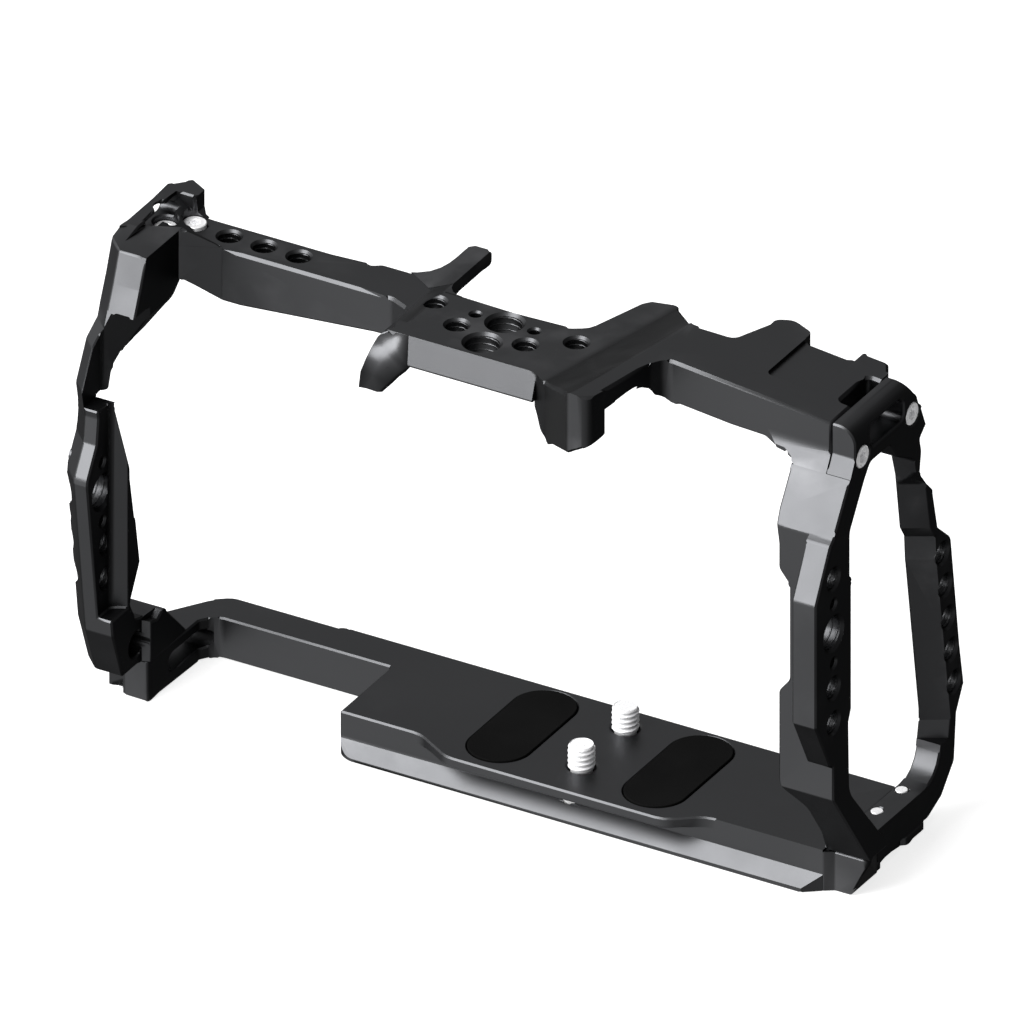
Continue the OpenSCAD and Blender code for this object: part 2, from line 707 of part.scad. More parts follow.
// Room above the tongue, between the front wall and the lug's inclined face
module tongue_room() {
    intersection() {
        along_z([[left_x + 20.6, 13.6, 0], [left_x + 3.2, 5.7, 0], [left_x + 3.2, 21.4, 0],
            [left_x + lug_reach + 0.02, 21.4, 0], [left_x + lug_reach + 0.02, 30, 0],
            [left_x + 20.6, 30, 0]], top_z - 1, top_z + 12);
        along_y([[left_x + 11, top_z - 0.01, 0], [left_x + 2.4, top_z + 5.4, 0], [left_x + 2.4, top_z + 12, 0],
            [left_x + 24, top_z + 12, 0], [left_x + 24, top_z - 0.01, 0]], 0, 30);
    }
}

// The hump on the inner side of the foot, a roof that slopes back to the arm
module left_hump() {
    intersection() {
        along_x([[-14, 0, 0], [-15, 5, 2], [-12, 11.5, 2], [-5, 9.6, 1], [-2.3, 11.4, 1], [8.5, 0, 0]],
            left_x + 4, left_x + 13.7);
        along_z([[left_x + 4, -20, 0], [left_x + 10, -20, 0], [left_x + 10, -9.4, 1],
            [left_x + 13.7, -8.2, 0.5], [left_x + 13.7, 12, 0], [left_x + 4, 12, 0]], 0, 20);
    }
}

// Right side ring

function ring_outer() = [
    [-2, end_z, 0],
    [-2, block_z + 4.4, 1],
    [-9.7, block_z - 10.5, 3],
    [-13.4, block_z - 13, 2],
    [-20, 72.5, 2],
    [-20, 40.4, 1],
    [-13.3, 27, 1],
    [-12, 26.5, 0],
    [-12, 17.7, 1],
    [-4.6, foot_z, 0],
    [8, foot_z, 0],
    [8, bar_bottom, 1],
    [31, bar_bottom, 3],
    [37.4, -5.6, 2],
    [43.2, 0.9, 2],
    [44.2, 13, 1],
    [47.2, 18.6, 2],
    [41.7, 60.2, 2],
    [35.8, 65.6, 2],
    [33.4, 76.5, 2],
    [27.5, 83.4, 2],
    [28.4, 89.6, 2],
    [27.6, block_z - 4.9, 1],
    [30.5, block_z - 2.5, 0.5],
    [28.2, block_z + 3.1, 1],
    [23.6, end_z - 1.4, 1],
    [22.8, end_z, 0]];

// The ring's opening at its inner face
function ring_opening() = [
    [5, block_z, 2],
    [2.4, block_z - 3.3, 1],
    [-4.2, 84.4, 3],
    [-4.2, 73, 1],
    [-3.6, 71.5, 1],
    [-3.6, 37.9, 1],
    [-4.8, 35, 1],
    [-4.4, 15.6, 4],
    [2.7, 3.1, 1],
    [6.5, 0, 3],
    [35, 0, bend_r],
    [37.6, 12.4, 2],
    [31, 57.7, 2],
    [28.7, 67.1, 2],
    [26.6, 82, 2],
    [24.6, 89, 2],
    [17.5, block_z - 4.9, 1],
    [14.2, block_z, 2]];

// The rear upright's front edge at the inner face, where its turned front face starts
function rear_front_edge() = [
    [26.4, 80, 0], [28.7, 67.1, 0], [30.6, 64, 0], [31, 57.7, 0], [37.6, 12.4, 0], [36.8, 8, 0]];

// The front upright with its inward flange, seen from the side
function flange_side() = [
    [-4.5, block_z, 0],
    [-12, block_z - 12, 2],
    [-12, 17.7, 1],
    [-4.6, foot_z, 0],
    [4.6, foot_z, 0],
    [2.7, 3.1, 1],
    [-4.4, 15.6, 4],
    [-4.8, 35, 1],
    [-3.6, 37.9, 1],
    [-3.6, 71.5, 1],
    [-4.2, 73, 1],
    [-4.2, 84.4, 3],
    [2.4, block_z - 3.3, 1],
    [4.6, block_z, 0]];

// The flange and the flared foot, seen from the front
function flange_front() = [
    [flange_x - 1, block_z, 0],
    [flange_x - 1, block_z - 9, 3],
    [flange_x, block_z - 17, 3],
    [flange_x, 74.5, 2],
    [flange_x + 2.8, 71, 2],
    [flange_x + 2.8, 46, 2],
    [flange_x, 42.5, 2],
    [flange_x, 17.5, 4],
    [flange_x + 6.1, 12.6, 4],
    [flange_x + 8, 5.7, 4],
    [flange_x + 10.6, foot_z, 0],
    [right_x + 5.2, foot_z, 0],
    [right_x, 17.5, 4],
    [right_x, block_z, 0]];

module ring_wall() {
    difference() {
        along_x(ring_outer(), ring_x, right_x);
        along_x(ring_opening(), ring_x - past, right_x + past);
        // The rear upright's front face is turned outwards
        facet_cut_back(rear_front_edge(), ring_x, rear_face_turn);
        // Rolled top edge
        difference() {
            block([right_x - roll_r, -10, end_z - roll_r], [right_x + past, 35, end_z + past]);
            translate([right_x - roll_r, -11, end_z - roll_r]) rotate([-90, 0, 0])
                cylinder(h = 47, r = roll_r, $fn = round_fn);
        }
        // Foot below the thick upright is set back to its flange
        block([ring_x - past, -25, -5], [right_x + past, -12.01, 26.5]);
    }
}

// Takes off the rear upright's front outer corner, behind the ring's opening
module facet_cut_back(edge, x, turn) {
    front = [for (p = edge) [-x * sin(turn) + p[0] * cos(turn), p[1], 0]];
    n = len(front);
    behind = [[front[0][0] - 14, front[0][1] + 2, 0], [front[0][0] - 5, front[0][1] + 7, 0]];
    rotate([0, 0, turn]) along_x(concat(behind, front, [[front[n - 1][0] - 12, front[n - 1][1], 0]]),
        -250, 250);
}

module right_side_frame() {
    color([0.12, 0.12, 0.13]) difference() {
        union() {
            ring_wall();
            intersection() {
                along_x(flange_side(), flange_x - 2, right_x + 6);
                along_y(flange_front(), -30, 30);
            }
        }
        // Front upright: large hole, its two pins, and small holes
        upright_hole(-11.8, ring_large_z, large_hole_d);
        for (side = [-1, 1]) upright_hole(-11.8, ring_large_z + side * pin_pitch, pin_hole_d);
        for (side = [-1, 1]) upright_hole(-11.8, ring_large_z + side * ring_small_pitch, small_hole_d);
        upright_hole(-11.8, ring_large_z - ring_small_pitch - row_pitch, small_hole_d);
        // Rear upright: five small holes on its slant
        for (k = [0:4]) upright_hole(37.7 + k * 1.32, 57.9 - k * row_pitch * 0.995, small_hole_d);
        // Strap window through the top
        along_x([[4.9, window_low, 1.8], [4.9 + strap_w + 2.3, window_low, 1.8],
            [4.9 + strap_w + 2.3, window_high, 1.8], [4.9, window_high, 1.8]], ring_x - past, right_x + past);
        for (y = right_screw_y) {
            rod_x(ring_x - past, right_x + past, y, right_screw_z, m3_d + 2 * screw_gap);
            rod_x(right_x - m3_head_h, right_x + past, y, right_screw_z, m3_head_d + 2 * screw_gap);
        }
        for (y = right_base_y) rod_z(right_base_x, y, bar_bottom - past, past, m3_d + 2 * screw_gap);
    }
}

module upright_hole(y, z, d) {
    rod_x(ring_x - past, right_x + past, y, z, d);
}

// Screws and pads

// Camera screw: head with a coin slot and hexagon socket, bare neck, thread
module camera_screw(y) {
    head_low = bottom_z + 0.8 - camera_head_gap;
    color([0.75, 0.75, 0.76]) difference() {
        union() {
            rod_z(0, y, head_low, head_low + camera_head_h, camera_head_d);
            rod_z(0, y, head_low, 0, neck_d);
            translate([0, y, -0.6]) cylinder(h = 0.6, d1 = neck_d, d2 = camera_thread_d, $fn = round_fn);
            rod_z(0, y, 0, camera_screw_rise - 0.8, camera_thread_d);
            translate([0, y, camera_screw_rise - 0.8]) cylinder(h = 0.8, d1 = camera_thread_d,
                d2 = camera_thread_d - 1.2, $fn = round_fn);
        }
        translate([0, y, head_low - past]) cylinder(h = past + 2.4, d = 4.6, $fn = 6);
        block([-camera_head_d, y - 0.7, head_low - past], [camera_head_d, y + 0.7, head_low + 1.2]);
    }
}

// Cap screw standing on its tip, head up, from z = 0 at the head's seat
module cap_screw(reach) {
    difference() {
        union() {
            translate([0, 0, -reach]) cylinder(h = reach + 0.1, d = m3_d, $fn = round_fn);
            cylinder(h = m3_head_h - screw_gap, d = m3_head_d, $fn = round_fn);
        }
        translate([0, 0, 0.9]) cylinder(h = m3_head_h, d = m3_socket * 1.155, $fn = 6);
    }
}

// Flat-headed screw that comes up from below, with its tip at z1
module flat_screw(z1) {
    difference() {
        union() {
            cylinder(h = flat_head_h, d1 = m3_head_d, d2 = m3_d, $fn = round_fn);
            translate([0, 0, flat_head_h - 0.1]) cylinder(h = z1 - bottom_z - flat_head_h + 0.1, d = m3_d,
                $fn = round_fn);
        }
        translate([0, 0, -past]) cylinder(h = past + 1, d = m3_socket * 1.155 * 0.8, $fn = 6);
    }
}

module base_pad(side) {
    color([0.02, 0.02, 0.02]) translate([side * pad_x, pad_y, pad_proud - pad_t])
        racetrack(pad_w, pad_l, pad_t);
}

module right_top_screw(k) {
    color([0.8, 0.8, 0.8]) translate([right_x - m3_head_h, right_screw_y[k], right_screw_z])
        rotate([0, 90, 0]) cap_screw(10);
}

module right_base_screw(k) {
    color([0.8, 0.8, 0.8]) translate([right_base_x, right_base_y[k], bottom_z]) flat_screw(0);
}

module left_top_screw(k) {
    color([0.8, 0.8, 0.8]) translate([left_top_place[k][0], left_top_place[k][1], top_z - m3_head_h + 0.6])
        cap_screw(6.5);
}

module left_base_screw(k) {
    color([0.8, 0.8, 0.8]) translate([left_base_x[k], left_base_y, bottom_z]) flat_screw(6);
}

base_plate();
top_plate();
left_side_frame();
right_side_frame();
camera_screw(0);  // front_camera_screw
camera_screw(camera_screw_pitch);  // rear_camera_screw
base_pad(-1);  // left_base_pad
base_pad(1);  // right_base_pad
right_top_screw(0);  // right_top_screw_front
right_top_screw(1);  // right_top_screw_rear
right_base_screw(0);  // right_base_screw_front
right_base_screw(1);  // right_base_screw_rear
left_top_screw(0);  // left_top_screw_outer
left_top_screw(1);  // left_top_screw_inner
left_base_screw(0);  // left_base_screw_outer
left_base_screw(1);  // left_base_screw_inner
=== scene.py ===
# Camera cage in black anodised aluminium: a base plate, a top plate, a left side frame and a right side
# ring held together by stainless screws, with two rubber pads and two captive camera screws.
# Metres, +Z up, +Y to the camera's back; the front camera screw stands at the origin.
import math

import bmesh
import bpy
from mathutils import Matrix, Vector
from mathutils.bvhtree import BVHTree
from mathutils.geometry import intersect_point_line
from mathutils.kdtree import KDTree


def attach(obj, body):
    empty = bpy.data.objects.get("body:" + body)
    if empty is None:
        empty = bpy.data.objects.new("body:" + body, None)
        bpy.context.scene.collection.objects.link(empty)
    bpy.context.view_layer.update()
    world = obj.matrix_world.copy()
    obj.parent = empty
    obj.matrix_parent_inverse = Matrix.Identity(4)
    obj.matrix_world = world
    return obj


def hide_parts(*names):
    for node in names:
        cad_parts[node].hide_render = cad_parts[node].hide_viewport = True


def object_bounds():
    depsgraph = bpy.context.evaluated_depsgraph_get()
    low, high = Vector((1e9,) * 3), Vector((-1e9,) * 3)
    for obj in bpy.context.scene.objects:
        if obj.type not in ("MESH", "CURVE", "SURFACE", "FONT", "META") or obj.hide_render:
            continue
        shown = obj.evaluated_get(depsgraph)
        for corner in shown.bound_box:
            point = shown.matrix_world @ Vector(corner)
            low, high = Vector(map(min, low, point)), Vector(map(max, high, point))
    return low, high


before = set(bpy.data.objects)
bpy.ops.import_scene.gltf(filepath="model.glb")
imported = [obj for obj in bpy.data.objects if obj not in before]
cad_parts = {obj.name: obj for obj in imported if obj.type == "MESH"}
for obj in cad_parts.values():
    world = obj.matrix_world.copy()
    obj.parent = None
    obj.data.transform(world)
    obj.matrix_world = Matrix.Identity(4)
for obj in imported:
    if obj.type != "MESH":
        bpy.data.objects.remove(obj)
cad_low, cad_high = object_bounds()
scene = bpy.context.scene
mm = 0.001

# Base plate
# One milled aluminium plate with a dovetail under its wide part and an arm bent forward to the left foot.
# It is bead blasted and anodised black, with every edge broken by the cutter, and it holds two blind
# threaded holes for a tripod plate underneath.


def shader_of(name, colour, metallic, roughness):
    """A new node material: its nodes, its links and its shader, with the plain values already set"""
    material = bpy.data.materials.new(name)
    material.use_nodes = True
    nodes = material.node_tree.nodes
    shader = nodes["Principled BSDF"]
    shader.inputs["Base Color"].default_value = (*colour, 1)
    shader.inputs["Metallic"].default_value = metallic
    shader.inputs["Roughness"].default_value = roughness
    return material, nodes, material.node_tree.links, shader


def noise(nodes, links, coordinates, scale, detail, stretch=(1, 1, 1)):
    """Noise in the piece's own Object coordinates, its scale in turns per metre"""
    place = nodes.new("ShaderNodeMapping")
    place.inputs["Scale"].default_value = stretch
    links.new(coordinates.outputs["Object"], place.inputs["Vector"])
    texture = nodes.new("ShaderNodeTexNoise")
    texture.inputs["Scale"].default_value = scale
    texture.inputs["Detail"].default_value = detail
    links.new(place.outputs["Vector"], texture.inputs["Vector"])
    return texture.outputs["Fac"]


def spread(nodes, links, value, before, after):
    """Maps one range of a value on to another"""
    node = nodes.new("ShaderNodeMapRange")
    node.inputs["From Min"].default_value = before[0]
    node.inputs["From Max"].default_value = before[1]
    node.inputs["To Min"].default_value = after[0]
    node.inputs["To Max"].default_value = after[1]
    links.new(value, node.inputs["Value"])
    return node.outputs["Result"]


def product(nodes, links, first, second):
    """Two values multiplied; the second may be a plain number"""
    node = nodes.new("ShaderNodeMath")
    node.operation = "MULTIPLY"
    links.new(first, node.inputs[0])
    if isinstance(second, float):
        node.inputs[1].default_value = second
    else:
        links.new(second, node.inputs[1])
    return node.outputs[0]


def blended(nodes, links, factor, first, second):
    """A colour between two, by a factor; each colour is a value or another node's output"""
    node = nodes.new("ShaderNodeMix")
    node.data_type = "RGBA"
    links.new(factor, node.inputs["Factor"])
    sockets = [item for item in node.inputs if item.type == "RGBA"]
    for socket, colour in zip(sockets, (first, second)):
        if isinstance(colour, tuple):
            socket.default_value = (*colour, 1)
        else:
            links.new(colour, socket)
    return [item for item in node.outputs if item.type == "RGBA"][0]


def grained(nodes, links, shader, height, strength, distance):
    """Bump on the shader's normal, its distance in metres"""
    bump = nodes.new("ShaderNodeBump")
    bump.inputs["Strength"].default_value = strength
    bump.inputs["Distance"].default_value = distance
    links.new(height, bump.inputs["Height"])
    links.new(bump.outputs["Normal"], shader.inputs["Normal"])


def anodised_finish(name):
    """Bead blasted, black anodised aluminium: satin grain, faint cloudiness, bare metal where edges rub"""
    middle_black = (0.066, 0.067, 0.07)
    deep_black = (0.064, 0.065, 0.068)
    pale_black = (0.069, 0.07, 0.073)
    bare_metal = (0.26, 0.26, 0.27)
    rubbed_share = 0.25
    # Less mirror-like at a low angle than bare metal, as the oxide layer is
    oxide_tint = (0.55, 0.55, 0.55, 1)
    material, nodes, links, shader = shader_of(name, middle_black, metallic=1.0, roughness=0.36)
    coordinates = nodes.new("ShaderNodeTexCoord")
    clouds = noise(nodes, links, coordinates, scale=22, detail=2)
    black = blended(nodes, links, spread(nodes, links, clouds, (0.3, 0.7), (0, 1)), deep_black, pale_black)
    geometry = nodes.new("ShaderNodeNewGeometry")
    edge = spread(nodes, links, geometry.outputs["Pointiness"], (0.56, 0.66), (0, 1))
    patches = noise(nodes, links, coordinates, scale=90, detail=4)
    patch = spread(nodes, links, patches, (0.45, 0.7), (0, 1))
    rubbed = product(nodes, links, product(nodes, links, edge, patch), rubbed_share)
    links.new(blended(nodes, links, rubbed, black, bare_metal), shader.inputs["Base Color"])
    satin = noise(nodes, links, coordinates, scale=140, detail=3)
    links.new(spread(nodes, links, satin, (0.3, 0.7), (0.34, 0.38)), shader.inputs["Roughness"])
    shader.inputs["Specular Tint"].default_value = oxide_tint
    blasted = noise(nodes, links, coordinates, scale=5200, detail=2)
    grained(nodes, links, shader, blasted, strength=0.1, distance=0.00003)
    return material


black_anodised = anodised_finish("black_anodised")


def bores(mouths, way, radius):
    """The holes of one kind, each as its mouth, its way and its radius, in mm"""
    return [(mouth, way, radius) for mouth in mouths]


def on_rim(vertex, holes):
    """Whether a corner lies on the wall of one of the holes"""
    slack = 0.12
    for mouth, way, radius in holes:
        offset = vertex.co / mm - Vector(mouth)
        along = offset.dot(Vector(way))
        if abs((offset - Vector(way) * along).length - radius) < slack:
            return True
    return False


def strays(work, surface, edge_mm):
    """Faces that a cut edge has thrown away from the blank's surface or turned over"""
    sliver_area = 2e-9
    furthest = 1.2 * edge_mm * mm
    least_agreement = 0.2
    found = []
    for face in work.faces:
        nearest, normal, index, distance = surface.find_nearest(face.calc_center_median())
        astray = distance > furthest or face.normal.dot(normal) < least_agreement
        if astray and face.calc_area() > sliver_area:
            found.append(face)
    return found


def chamfer(work, edges, edge_mm):
    """Takes the given edges off with one flat cut each"""
    bmesh.ops.bevel(work, geom=edges, offset=edge_mm * mm, offset_type="OFFSET", segments=1, profile=0.5,
                    affect="EDGES", clamp_overlap=False, loop_slide=False)


def edge_between(first, last):
    """The edge that joins two corners"""
    return [edge for edge in first.link_edges if last in edge.verts][0]


def gap_to(place, start, end):
    """How far a place is from a stretch of edge"""
    nearest, share = intersect_point_line(place, start, end)
    return (start.lerp(end, min(max(share, 0), 1)) - place).length


def long_edges_broken(shape, surface, edge_mm):
    """The shape with the long sharp edges chamfered that are left, up to a little before their ends"""
    tries = 12
    shortest = 5 * mm
    sharp_turn = math.radians(60)
    uncut_end = 1.1 * mm
    same_edge = 0.1 * mm
    beside_known = 0.6 * mm
    left_out = []
    for attempt in range(tries):
        work = shape.copy()
        stretches = []
        for edge in list(work.edges):
            length = edge.calc_length()
            centre = (edge.verts[0].co + edge.verts[1].co) / 2
            if length < shortest or edge.calc_face_angle_signed(0) < sharp_turn:
                continue
            if any((centre - place).length < same_edge for place in left_out):
                continue
            first, last = edge.verts
            start = bmesh.utils.edge_split(edge, first, uncut_end / length)[1]
            rest = edge_between(start, last)
            end = bmesh.utils.edge_split(rest, last, uncut_end / (length - uncut_end))[1]
            stretches.append((centre, edge_between(start, end), start.co.copy(), end.co.copy()))
        bmesh.ops.triangulate(work, faces=work.faces)
        known = [face.calc_center_median() for face in strays(work, surface, edge_mm)]
        chamfer(work, [edge for centre, edge, start, end in stretches], edge_mm)
        bad = []
        for face in strays(work, surface, edge_mm):
            middle = face.calc_center_median()
            if all((middle - place).length > beside_known for place in known):
                bad.append(middle)
        if not bad:
            return work
        if not stretches:
            break
        for middle in bad:
            gaps = [gap_to(middle, start, end) for centre, edge, start, end in stretches]
            left_out.append(stretches[gaps.index(min(gaps))][0])
        work.free()
    return shape


def broken_edges(blank, edge_mm, holes):
    """The shape with its sharp edges broken by a narrow chamfer, apart from corners too tight for it"""
    tries = 14
    sharp_turn = math.radians(26)
    shortest = 4 * mm
    uncut_end = 1.2 * mm
    reach = 3 * edge_mm * mm
    surface = BVHTree.FromBMesh(blank)
    corners = KDTree(len(blank.verts))
    for vertex in blank.verts:
        corners.insert(vertex.co, vertex.index)
    corners.balance()
    # No edge is cut at a tight corner; a long edge is cut up to a little before it, unless it is closed
    tight = {vertex.index for vertex in blank.verts if on_rim(vertex, holes)}
    closed = set(tight)
    for attempt in range(tries):
        work = blank.copy()
        long_ones = [edge for edge in work.edges if edge.calc_face_angle(0) > sharp_turn
                     and edge.calc_length() > shortest
                     and any(vertex.index in tight for vertex in edge.verts)
                     and not any(vertex.index in closed for vertex in edge.verts)]
        for edge in long_ones:
            for vertex in tuple(edge.verts):
                if vertex.index in tight:
                    added = bmesh.utils.edge_split(edge, vertex, uncut_end / edge.calc_length())[1]
                    added.index = -1
                    edge = [item for item in added.link_edges if vertex not in item.verts][0]
        bmesh.ops.triangulate(work, faces=work.faces)
        sharp = [edge for edge in work.edges if edge.calc_face_angle(0) > sharp_turn
                 and not any(vertex.index in tight for vertex in edge.verts)]
        chamfer(work, sharp, edge_mm)
        failed = set()
        for face in strays(work, surface, edge_mm):
            failed.add(corners.find(face.calc_center_median())[1])
            for vertex in face.verts:
                place, index, distance = corners.find(vertex.co)
                if distance < reach:
                    failed.add(index)
        if failed <= closed:
            return long_edges_broken(work, surface, edge_mm)
        closed |= failed & tight
        tight |= failed
        work.free()
    return blank.copy()


def flat_regions(work):
    """For each face, the flat that it is part of: its normal and its width in mm"""
    same_flat = math.radians(1.2)
    regions = [None] * len(work.faces)
    for start in work.faces:
        if regions[start.index]:
            continue
        members = [start]
        region = {"normal": start.normal.copy(), "width": 0.0}
        regions[start.index] = region
        for face in members:
            for edge in face.edges:
                for other in edge.link_faces:
                    if not regions[other.index] and start.normal.angle(other.normal, math.pi) < same_flat:
                        regions[other.index] = region
                        members.append(other)
        area = sum(face.calc_area() for face in members)
        inside = {face.index for face in members}
        rim = sum(edge.calc_length() for face in members for edge in face.edges
                  if not all(other.index in inside for other in edge.link_faces))
        region["width"] = 2 * area / max(rim, 1e-9) / mm
    return regions


def shade(work, mesh):
    """Keeps flats flat and corners between two flats crisp, and turns smoothly through narrow chamfers"""
    wide_flat = 2
    least_width = 0.01
    crease_of_any = math.radians(35)
    crease_of_wide = math.radians(2)
    work.faces.index_update()
    regions = flat_regions(work)
    for edge in work.edges:
        narrowest = min(regions[face.index]["width"] for face in edge.link_faces)
        turn = edge.calc_face_angle(0)
        edge.smooth = not (turn > crease_of_any or (narrowest > wide_flat and turn > crease_of_wide))
    normals = {}
    for vertex in work.verts:
        waiting = set(vertex.link_faces)
        while waiting:
            fan = [waiting.pop()]
            for face in fan:
                for edge in face.edges:
                    if edge.smooth and vertex in edge.verts:
                        for other in edge.link_faces:
                            if other in waiting:
                                waiting.discard(other)
                                fan.append(other)
            # The wider a flat is, the more the shared normal leans to it
            found = {id(regions[face.index]): regions[face.index] for face in fan}
            pulls = [item["normal"] * (item["width"] + least_width) ** 3 for item in found.values()]
            normal = sum(pulls, Vector())
            for face in fan:
                normals[face.index, vertex.index] = normal.normalized()
    for face in work.faces:
        face.smooth = True
        face.material_index = 0
    work.to_mesh(mesh)
    mesh.normals_split_custom_set([normals[face.index, loop.vert.index] for face in work.faces
                                   for loop in face.loops])


def machined_copy(node, material, edge_mm, holes=(), cut=None):
    """The CAD node's shape as the finished part: doubles merged, flats made whole, sharp edges broken;
    a cut, where there is one, is a function that gives a point in mm its new place"""
    double = 4e-6
    level = math.radians(0.6)
    mesh = bpy.data.meshes.new(node + "_finished")
    piece = bpy.data.objects.new(mesh.name, mesh)
    scene.collection.objects.link(piece)
    blank = bmesh.new()
    blank.from_mesh(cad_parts[node].data)
    bmesh.ops.remove_doubles(blank, verts=blank.verts, dist=double)
    bmesh.ops.dissolve_limit(blank, angle_limit=level, verts=blank.verts, edges=blank.edges)
    bmesh.ops.triangulate(blank, faces=blank.faces, ngon_method="BEAUTY")
    blank.verts.index_update()
    work = broken_edges(blank, edge_mm, holes)
    mesh.materials.append(material)
    if cut:
        for vertex in work.verts:
            vertex.co = cut(vertex.co / mm) * mm
    work.verts.index_update()
    work.normal_update()
    shade(work, mesh)
    work.free()
    blank.free()
    return piece


def stands_for(piece, body, slot, *nodes):
    """The piece moves with a body and stands for CAD nodes, which it hides; the slot is not used"""
    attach(piece, body)
    if nodes:
        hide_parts(*nodes)


def thread_tree():
    """Rings of thread, one at each point of the incoming mesh, running back from the point"""
    around = 40
    rows = 72
    root_share = 0.12
    crest_share = 0.88
    weld = 1e-6
    tree = bpy.data.node_groups.new("threaded_rings", "GeometryNodeTree")
    face = tree.interface
    face.new_socket("Mouths", in_out="INPUT", socket_type="NodeSocketGeometry")
    for name in ("Seat radius", "Crest radius", "Pitch", "Length", "Rim", "Plain"):
        face.new_socket(name, in_out="INPUT", socket_type="NodeSocketFloat")
    face.new_socket("Tilt", in_out="INPUT", socket_type="NodeSocketVector")
    face.new_socket("Finish", in_out="INPUT", socket_type="NodeSocketMaterial")
    face.new_socket("Rings", in_out="OUTPUT", socket_type="NodeSocketGeometry")
    start = tree.nodes.new("NodeGroupInput")
    end = tree.nodes.new("NodeGroupOutput")

    def worked(operation, *values):
        """A Math node's result; each value is a number or another node's output"""
        node = tree.nodes.new("ShaderNodeMath")
        node.operation = operation
        for k, value in enumerate(values):
            if isinstance(value, (int, float)):
                node.inputs[k].default_value = value
            else:
                tree.links.new(value, node.inputs[k])
        return node.outputs[0]

    # A sheet of points, whose last row closes the ring along its seat
    grid = tree.nodes.new("GeometryNodeMeshGrid")
    grid.inputs["Size X"].default_value = 1
    grid.inputs["Size Y"].default_value = 1
    grid.inputs["Vertices X"].default_value = around + 1
    grid.inputs["Vertices Y"].default_value = rows + 2
    place = tree.nodes.new("GeometryNodeInputPosition")
    parts = tree.nodes.new("ShaderNodeSeparateXYZ")
    tree.links.new(place.outputs[0], parts.inputs[0])
    turn = worked("ADD", parts.outputs["X"], 0.5)
    row = worked("MULTIPLY", worked("ADD", parts.outputs["Y"], 0.5), rows + 1)
    kept = worked("LESS_THAN", row, rows + 0.5)
    share = worked("DIVIDE", worked("MULTIPLY", row, kept), rows)
    depth = worked("MULTIPLY", share, start.outputs["Length"])
    # Along the helix the wall runs from its seat to its crest and back
    phase = worked("FRACT", worked("ADD", worked("DIVIDE", depth, start.outputs["Pitch"]), turn))
    wave = worked("MULTIPLY", worked("ABSOLUTE", worked("SUBTRACT", phase, 0.5)), 2)
    flank = tree.nodes.new("ShaderNodeMapRange")
    flank.inputs["From Min"].default_value = root_share
    flank.inputs["From Max"].default_value = crest_share
    tree.links.new(wave, flank.inputs["Value"])
    height = worked("MAXIMUM", flank.outputs["Result"], start.outputs["Plain"])
    # At both ends it runs out to the seat over the rim's length
    from_end = worked("MINIMUM", depth, worked("SUBTRACT", start.outputs["Length"], depth))
    height = worked("MINIMUM", height, worked("DIVIDE", from_end, start.outputs["Rim"]))
    reach = worked("SUBTRACT", start.outputs["Crest radius"], start.outputs["Seat radius"])
    radius = worked("ADD", start.outputs["Seat radius"], worked("MULTIPLY", reach, height))
    angle = worked("MULTIPLY", turn, 2 * math.pi)
    spot = tree.nodes.new("ShaderNodeCombineXYZ")
    tree.links.new(worked("MULTIPLY", radius, worked("COSINE", angle)), spot.inputs["X"])
    tree.links.new(worked("MULTIPLY", radius, worked("SINE", angle)), spot.inputs["Y"])
    tree.links.new(worked("MULTIPLY", depth, -1), spot.inputs["Z"])
    moved = tree.nodes.new("GeometryNodeSetPosition")
    tree.links.new(grid.outputs["Mesh"], moved.inputs["Geometry"])
    tree.links.new(spot.outputs[0], moved.inputs["Position"])
    merged = tree.nodes.new("GeometryNodeMergeByDistance")
    merged.inputs["Distance"].default_value = weld
    tree.links.new(moved.outputs[0], merged.inputs["Geometry"])
    rings = tree.nodes.new("GeometryNodeInstanceOnPoints")
    tree.links.new(start.outputs["Mouths"], rings.inputs["Points"])
    tree.links.new(merged.outputs[0], rings.inputs["Instance"])
    tree.links.new(start.outputs["Tilt"], rings.inputs["Rotation"])
    real = tree.nodes.new("GeometryNodeRealizeInstances")
    tree.links.new(rings.outputs[0], real.inputs[0])
    finish = tree.nodes.new("GeometryNodeSetMaterial")
    tree.links.new(real.outputs[0], finish.inputs["Geometry"])
    tree.links.new(start.outputs["Finish"], finish.inputs["Material"])
    tree.links.new(finish.outputs[0], end.inputs["Rings"])
    return tree


rings_of_thread = thread_tree()
quarter_turn = math.pi / 2
# How a ring of thread is turned for its mouth to face each way
facing = {"up": (0, 0, 0), "down": (2 * quarter_turn, 0, 0),
          "right": (0, quarter_turn, 0), "left": (0, -quarter_turn, 0)}


